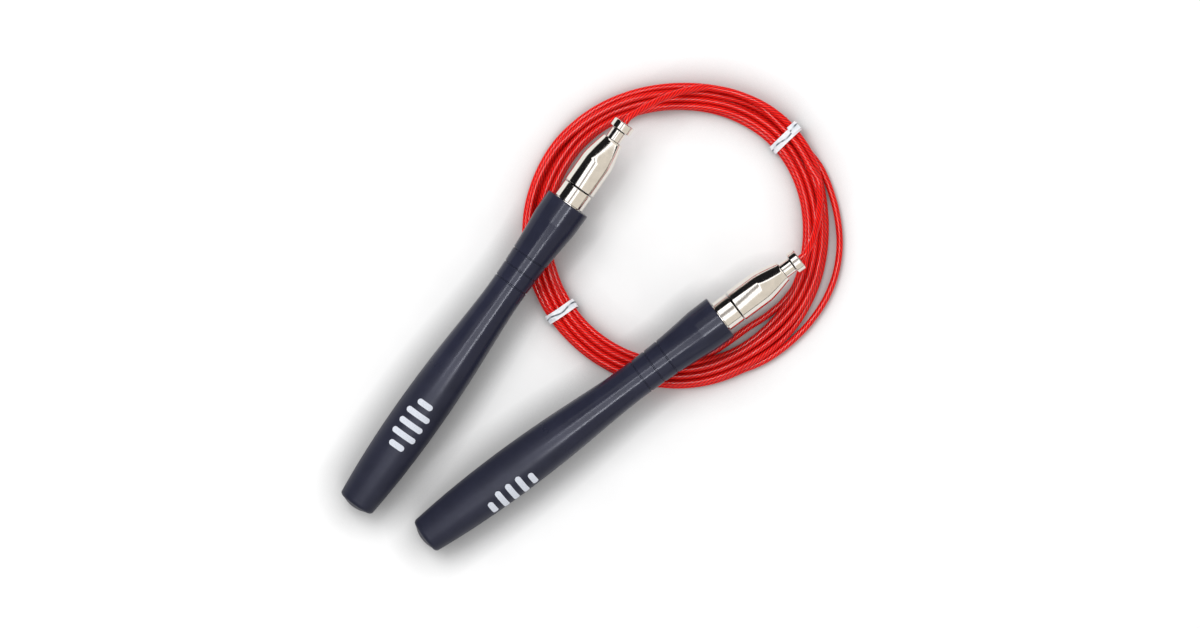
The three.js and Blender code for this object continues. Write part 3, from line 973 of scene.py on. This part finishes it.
def grip_look():
    look = Look("grip_plastic", 0.3)
    dark, light = (0.0170, 0.0185, 0.0330), (0.0225, 0.0240, 0.0430)
    cloud = look.noise(0.09, 4.0, 0.6)
    base = look.blend(look.ranged(cloud, 0.3, 0.7, 0.0, 1.0), dark, light)
    # The moulded edges and the grooves' lips are rubbed a little paler.
    rub = look.add("ShaderNodeNewGeometry").outputs["Pointiness"]
    worn = look.ranged(rub, 0.515, 0.56, 0.0, 0.5, True)
    look.color(look.blend(worn, base, (0.048, 0.052, 0.074)))
    # Hands have polished the front and the waist. The butt is still matt.
    smudge = look.noise(0.22, 5.0, 0.6)
    parts = look.add("ShaderNodeSeparateXYZ")
    look.put(parts.inputs[0], look.millimetres())
    matt = look.ranged(parts.outputs[1], -62.0, -98.0, 0.0, 0.26, True)
    look.rough(look.maths("ADD", look.ranged(smudge, 0.3, 0.7, 0.13, 0.2), matt))
    grain = look.noise(2.4, 2.0, 0.5)
    look.height(grain, 0.0035)
    look.shader.inputs["Specular IOR Level"].default_value = 0.13
    return look.material


# Where the seams are painted dark for shade: from, to, and out to this radius.
SEAMS = ((6.84, 7.36, 6.3), (29.22, 29.45, 3.5), (33.56, 33.96, 4.3))


def nickel_look(name="nickel_plate", colour=(0.80, 0.76, 0.70), low=0.06, high=0.12, ring=0.00035):
    look = Look(name, 0.1, 1.0)
    tarnish = look.noise(0.35, 4.0, 0.6)
    dull = tuple(c * 0.90 for c in colour)
    base = look.blend(look.ranged(tarnish, 0.35, 0.75, 0.0, 1.0), colour, dull)
    # Painted shade: the seams between the turned pieces are coloured near black, where shade falls.
    parts = look.add("ShaderNodeSeparateXYZ")
    look.put(parts.inputs[0], look.millimetres())
    x, y, z = parts.outputs
    square = look.maths("ADD", look.maths("MULTIPLY", x, x), look.maths("MULTIPLY", z, z))
    seam_shade = 0.0
    for start, end, reach in SEAMS:
        after, before = look.maths("GREATER_THAN", y, start), look.maths("LESS_THAN", y, end)
        here = look.maths("MULTIPLY", after, before)
        here = look.maths("MULTIPLY", here, look.maths("LESS_THAN", square, reach**2))
        seam_shade = look.maths("MAXIMUM", seam_shade, here)
    look.color(look.blend(seam_shade, base, (0.012, 0.011, 0.010)))
    smear = look.noise(1.6, 5.0, 0.65, (1.0, 0.35, 1.0))
    look.rough(look.ranged(smear, 0.3, 0.7, low, high))
    # Fine rings left by turning, and the faint orange peel of the plating.
    lines = look.noise(9.0, 2.0, 0.5, (0.02, 1.0, 0.02))
    peel = look.noise(1.1, 2.0, 0.5)
    first = look.height(lines, ring)
    look.height(peel, 0.006, normal=first)
    return look.material


WIRES_ROUND, WIRE_PITCH = 21, 0.9


def cable_look():
    look = Look("cable_coat", 0.32)
    where = look.add("ShaderNodeUVMap", uv_map="strand").outputs[0]
    parts = look.add("ShaderNodeSeparateXYZ")
    look.put(parts.inputs[0], where)
    u, v = parts.outputs[0], parts.outputs[1]
    swing = look.maths("COSINE", look.maths("MULTIPLY", u, math.pi * STRANDS))
    lobe = look.maths("ABSOLUTE", swing)
    # The wires in each strand run slantwise across it.
    slant = look.maths("MULTIPLY", u, 2 * math.pi * WIRES_ROUND)
    along = look.maths("MULTIPLY", v, 2 * math.pi / (WIRE_PITCH * MM))
    wires = look.maths("SINE", look.maths("ADD", slant, along))
    wires = look.ranged(wires, -1.0, 1.0, 0.0, 1.0)
    # Painted shade and light: the valleys between the strands are coloured dark red and their
    # crests bright red.
    deep, bright = (0.24, 0.0, 0.004), (0.93, 0.012, 0.006)
    shade = look.ranged(lobe, 0.15, 0.9, 0.0, 1.0, True)
    base = look.blend(shade, deep, bright)
    # Painted highlight: a faint brighter red along the wires' slant lines.
    base = look.blend(look.maths("MULTIPLY", wires, 0.12), base, (0.95, 0.05, 0.03))
    cloud = look.noise(0.16, 3.0, 0.6)
    base = look.blend(look.ranged(cloud, 0.35, 0.7, 0.0, 0.3), base, (0.45, 0.001, 0.005))
    look.color(base)
    look.rough(look.ranged(look.noise(0.8, 4.0, 0.6), 0.3, 0.7, 0.24, 0.40))
    ridge = look.add("ShaderNodeMath", operation="MULTIPLY_ADD")
    look.put(ridge.inputs[0], wires)
    ridge.inputs[1].default_value = 0.25
    look.put(ridge.inputs[2], lobe)
    look.height(ridge.outputs[0], 0.025)
    look.shader.inputs["Coat Weight"].default_value = 0.3
    look.shader.inputs["Coat Roughness"].default_value = 0.1
    look.shader.inputs["Coat IOR"].default_value = 1.5
    look.shader.inputs["Specular IOR Level"].default_value = 0.05
    return look.material


def tie_look():
    look = Look("tie_plastic", 0.22)
    where = look.add("ShaderNodeUVMap", uv_map="strip").outputs[0]
    parts = look.add("ShaderNodeSeparateXYZ")
    look.put(parts.inputs[0], where)
    u, v = parts.outputs[0], parts.outputs[1]
    round_ = look.maths("MULTIPLY", v, 2 * math.pi)
    wobble = look.maths("MULTIPLY", look.maths("SINE", look.maths("MULTIPLY", round_, 3.0)), 0.12)
    middle = look.maths("ADD", wobble, 0.5)
    off = look.maths("ABSOLUTE", look.maths("SUBTRACT", u, middle))
    wire = look.ranged(off, 0.05, 0.12, 1.0, 0.0, True)
    broken = look.ranged(look.noise(0.35, 2.0, 0.5), 0.36, 0.55, 0.3, 1.0, True)
    white, clear = (0.90, 0.90, 0.93), (0.70, 0.74, 0.80)
    milky = look.ranged(look.noise(0.45, 3.0, 0.6), 0.35, 0.65, 0.0, 1.0)
    base = look.blend(milky, clear, white)
    base = look.blend(look.maths("MULTIPLY", wire, broken), base, (0.10, 0.115, 0.14))
    # Painted light: the strip's clear edges are tinted pink for the red of the cable seen through
    # them.
    edge = look.ranged(look.maths("ABSOLUTE", look.maths("SUBTRACT", u, 0.5)), 0.40, 0.5, 0.0, 0.55)
    base = look.blend(edge, base, (0.95, 0.80, 0.80))
    look.color(base)
    look.rough(look.ranged(look.noise(1.5, 3.0, 0.6), 0.3, 0.7, 0.12, 0.32))
    look.height(look.noise(0.9, 3.0, 0.5), 0.09)
    look.shader.inputs["Coat Weight"].default_value = 0.6
    look.shader.inputs["Coat Roughness"].default_value = 0.08
    return look.material


def print_look():
    look = Look("print_ink", 0.45)
    cover = look.ranged(look.noise(2.2, 4.0, 0.6), 0.32, 0.5, 0.0, 1.0)
    look.color(look.blend(cover, (0.50, 0.53, 0.60), (0.62, 0.65, 0.72)))
    look.rough(look.ranged(look.noise(0.8, 3.0, 0.5), 0.3, 0.7, 0.38, 0.52))
    look.height(look.noise(4.0, 3.0, 0.5), 0.012)
    return look.material


def machined_look(name, colour, low, high, stretch=(1.0, 1.0, 1.0)):
    """Bare metal of the pieces inside: fine tool marks and uneven shine."""
    look = Look(name, low, 1.0)
    stain = look.noise(0.8, 4.0, 0.6)
    dark = tuple(c * 0.8 for c in colour)
    look.color(look.blend(look.ranged(stain, 0.3, 0.75, 0.0, 1.0), colour, dark))
    look.rough(look.ranged(look.noise(2.0, 4.0, 0.6), 0.3, 0.7, low, high))
    look.height(look.noise(7.0, 2.0, 0.5, stretch), 0.004)
    return look.material


def inner_cable_look():
    look = Look("cable_end_coat", 0.3)
    lines = look.noise(1.4, 2.0, 0.5)
    deep, bright = (0.40, 0.003, 0.007), (0.75, 0.02, 0.014)
    look.color(look.blend(look.ranged(lines, 0.35, 0.65, 0.0, 1.0), deep, bright))
    look.rough(look.ranged(look.noise(0.8, 3.0, 0.5), 0.3, 0.7, 0.24, 0.38))
    look.height(lines, 0.03)
    look.shader.inputs["Coat Weight"].default_value = 1.0
    look.shader.inputs["Coat Roughness"].default_value = 0.1
    return look.material


def dress(piece, material):
    piece.data.materials.clear()
    piece.data.materials.append(material)


grip_material = grip_look()
nickel_material = nickel_look()
ink_material = print_look()
tie_material = tie_look()
dress(cable, cable_look())
for tie in ties:
    dress(tie, tie_material)
for pieces_of in handles.values():
    dress(pieces_of["grip"], grip_material)
    dress(pieces_of["print"], ink_material)
    for key in ("ferrule", "housing", "spindle", "cap"):
        dress(pieces_of[key], nickel_material)

INSIDE = {
    "bearing_spacer": machined_look("spacer_steel", (0.62, 0.61, 0.60), 0.18, 0.34),
    "retaining_ring": machined_look("ring_spring_steel", (0.30, 0.31, 0.34), 0.28, 0.42),
    "cable_stop": machined_look("stop_brass", (0.74, 0.56, 0.24), 0.2, 0.36),
    "set_screw": machined_look("screw_black_oxide", (0.05, 0.05, 0.055), 0.35, 0.5),
    "cable_end": inner_cable_look(),
    "outer_race": machined_look("race_steel", (0.66, 0.67, 0.69), 0.08, 0.2),
    "inner_race": machined_look("race_ground_steel", (0.70, 0.71, 0.73), 0.06, 0.16),
    "ball_cage": machined_look("cage_pressed_brass", (0.70, 0.53, 0.25), 0.15, 0.3),
}
for name, node in frame["nodes"].items():
    for ending, material in INSIDE.items():
        if name.endswith(ending):
            dress(node, material)

# ---- The floor and the light --------------------------------------------------------------


SHADOW_HALO_REACH = 14.0  # how far the painted shadow on the floor reaches


def add_floor():
    size = 6.0
    corners = [(-size, -size, 0), (size, -size, 0), (size, size, 0), (-size, size, 0)]
    mesh = bpy.data.meshes.new("floor")
    mesh.from_pydata(corners, [], [(0, 1, 2, 3)])
    floor = add_object("floor", mesh)
    floor.location.z = -0.0002
    look = Look("floor_paper", 0.9)
    grain = look.noise(0.05, 3.0, 0.5)
    shares = look.ranged(grain, 0.3, 0.7, 0.0, 1.0)
    paper = look.blend(shares, (0.89, 0.89, 0.89), (0.91, 0.91, 0.91))
    # Painted shadow: a soft grey halo round everything, wider than real shadows.
    near = look.add("ShaderNodeAmbientOcclusion", {"Distance": SHADOW_HALO_REACH * MM}, samples=8)
    shade = look.ranged(near.outputs["AO"], 0.62, 1.0, 0.62, 1.0)
    look.color(look.blend(1.0, paper, look.gray(shade), "MULTIPLY"))
    look.shader.inputs["Specular IOR Level"].default_value = 0.1
    dress(floor, look.material)


def add_world():
    """A pale room for soft light, with strips and dark cards for shiny things to mirror."""
    world = bpy.data.worlds.new("studio")
    bpy.context.scene.world = world
    world.use_nodes = True
    tree = world.node_tree
    tree.nodes.clear()
    links = tree.links

    def add(kind, **settings):
        node = tree.nodes.new(kind)
        for key, value in settings.items():
            setattr(node, key, value)
        return node

    def maths(operation, a, b=0.0):
        node = add("ShaderNodeMath", operation=operation)
        for socket, value in zip(node.inputs, (a, b)):
            if isinstance(value, bpy.types.NodeSocket):
                links.new(value, socket)
            else:
                socket.default_value = value
        return node.outputs[0]

    def step(value, low, high):
        node = add("ShaderNodeMapRange", interpolation_type="SMOOTHSTEP")
        links.new(value, node.inputs["Value"])
        node.inputs["From Min"].default_value = low
        node.inputs["From Max"].default_value = high
        return node.outputs[0]

    def mix(share, a, b):
        node = add("ShaderNodeMix", data_type="RGBA")
        links.new(share, node.inputs[0])
        for socket, value in ((node.inputs[6], a), (node.inputs[7], b)):
            if isinstance(value, bpy.types.NodeSocket):
                links.new(value, socket)
            else:
                socket.default_value = (*value, 1.0)
        return node.outputs[2]

    where = add("ShaderNodeTexCoord")
    parts = add("ShaderNodeSeparateXYZ")
    links.new(where.outputs["Generated"], parts.inputs[0])
    x, y, z = parts.outputs
    # Where a direction meets the ceiling: across the strips, and towards the card at their end.
    low = maths("MAXIMUM", z, 0.02)
    out, lead = (
        maths("DIVIDE", maths("ADD", maths("MULTIPLY", x, a), maths("MULTIPLY", y, b)), low)
        for a, b in (STRIPS_ACROSS, CARD_TOWARDS)
    )
    room = mix(step(out, -0.13, -0.06), CREAM, STRIP)
    room = mix(step(out, 0.015, 0.06), room, SLIT)
    room = mix(step(out, 0.12, 0.165), room, STRIP)
    room = mix(step(lead, 0.37, 0.45), room, STRIP)
    room = mix(step(lead, 0.48, 0.55), room, CARD)
    room = mix(step(out, 0.36, 0.44), room, CARD)
    horizon = step(z, 0.05, 0.13)
    room = mix(horizon, HORIZON, room)
    ray = add("ShaderNodeLightPath")
    soft = mix(ray.outputs["Is Glossy Ray"], mix(step(z, 0.45, 0.75), LOW_LIGHT, HIGH_LIGHT), room)
    seen = mix(ray.outputs["Is Camera Ray"], soft, BACKGROUND)
    background = add("ShaderNodeBackground")
    links.new(seen, background.inputs["Color"])
    output = add("ShaderNodeOutputWorld")
    links.new(background.outputs[0], output.inputs[0])


STRIPS_ACROSS = (-0.92, -0.39)
CARD_TOWARDS = (0.35, 0.94)
STRIP = (1.8, 1.8, 1.84)
SLIT = (0.40, 0.38, 0.37)
CREAM = (0.86, 0.81, 0.74)
CARD = (0.012, 0.012, 0.014)
HORIZON = (0.20, 0.18, 0.16)
LOW_LIGHT = (1.0, 1.0, 1.0)
HIGH_LIGHT = (0.85, 0.85, 0.85)
BACKGROUND = (0.94, 0.94, 0.94)


def add_area(name, place, size, power, target=(0.0, 0.0, 0.0)):
    data = bpy.data.lights.new(name, "AREA")
    data.shape = "SQUARE"
    data.size = size
    data.energy = power
    light = bpy.data.objects.new(name, data)
    light.location = place
    light.rotation_euler = (Vector(target) - Vector(place)).to_track_quat("-Z", "Y").to_euler()
    light.visible_glossy = False
    bpy.context.scene.collection.objects.link(light)


def add_ceiling_light(name, place, across, width, length, radiance, pieces, tint=(1.0, 1.0, 1.0)):
    """A light that only some pieces mirror. Its width lies along the direction given."""
    data = bpy.data.lights.new(name, "AREA")
    data.shape = "RECTANGLE"
    data.size = width
    data.size_y = length
    data.energy = radiance * math.pi * width * length
    data.color = tint
    light = bpy.data.objects.new(name, data)
    light.location = place
    light.rotation_euler = (0.0, 0.0, math.atan2(across[1], across[0]))
    light.visible_diffuse = False
    light.visible_camera = False
    group = bpy.data.collections.new(name + "_pieces")
    for piece in pieces:
        group.objects.link(piece)
    light.light_linking.receiver_collection = group
    bpy.context.scene.collection.objects.link(light)


CEILING = 1.2
GRIP_LIGHTS = ((-0.1, 0.06, 16.0), (0.2, 0.06, 36.0), (0.05, 0.22, 5.5))  # share, width, radiance


def add_grip_lights(side):
    """Lights that the grip mirrors in lines along it, at these shares of its radius."""
    frame_of = handle_matrix(side)
    across, along = (frame_of.col[k].to_3d() for k in (0, 1))
    camera = bpy.context.scene.camera.location
    middle = frame_of @ Vector((0.0, -0.045, 0.0))
    for index, (share, width, radiance) in enumerate(GRIP_LIGHTS):
        normal = across * share + Vector((0, 0, 1)) * math.sqrt(1 - share**2)
        back = (camera - middle).normalized()
        to_light = 2 * normal.dot(back) * normal - back
        place = middle + to_light * ((CEILING - middle.z) / to_light.z)
        name = f"{side}_grip_light_{index}"
        wide = 2 * width * CEILING
        grip, tint = handles[side]["grip"], (0.88, 0.9, 1.0)
        add_ceiling_light(name, place, across, wide, 0.66, radiance, [grip], tint)


add_floor()
add_world()
add_area("key", (-0.55, 0.62, 1.25), 0.75, 9.0)
add_ceiling_light("cable_light", (-0.12, 0.1, CEILING), (1, 0), 0.5, 0.5, 14.0, [cable])
for side in handles:
    add_grip_lights(side)

view = bpy.context.scene.view_settings
view.view_transform = "Standard"
view.look = "None"
view.exposure = 0.0
